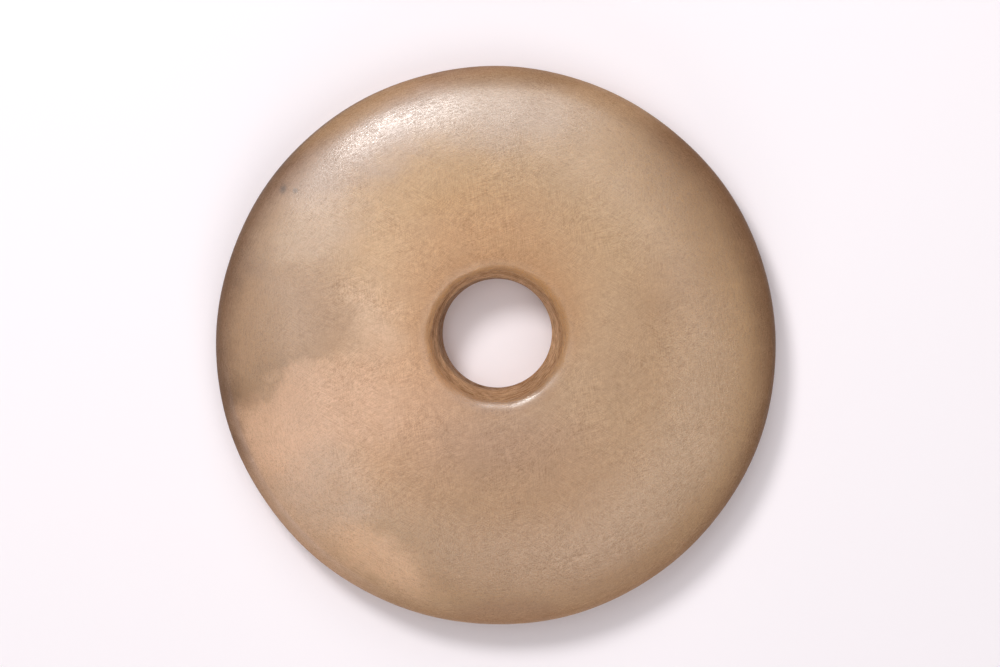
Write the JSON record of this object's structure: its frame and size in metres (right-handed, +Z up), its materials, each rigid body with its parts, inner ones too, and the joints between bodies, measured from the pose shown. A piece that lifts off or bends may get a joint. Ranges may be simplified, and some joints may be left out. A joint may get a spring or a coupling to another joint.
{
  "type": "jade bi disc",
  "caption": "Thick round disc of carved brown nephrite jade with a rolled edge and a tapered hole near its middle, lying flat.",
  "frame": {"origin": "middle of the disc's outline, on the surface that its back face rests on", "axes": "+Z up through the thickness, show face up; +Y towards the side that the hole is off-centre to"},
  "size_m": [0.1798, 0.1802, 0.025],
  "materials": {
    "nephrite": "satin, worn polish"
  },
  "bodies": {
    "root": {"jade_bi_disc": "nephrite"}
  },
  "joints": []
}
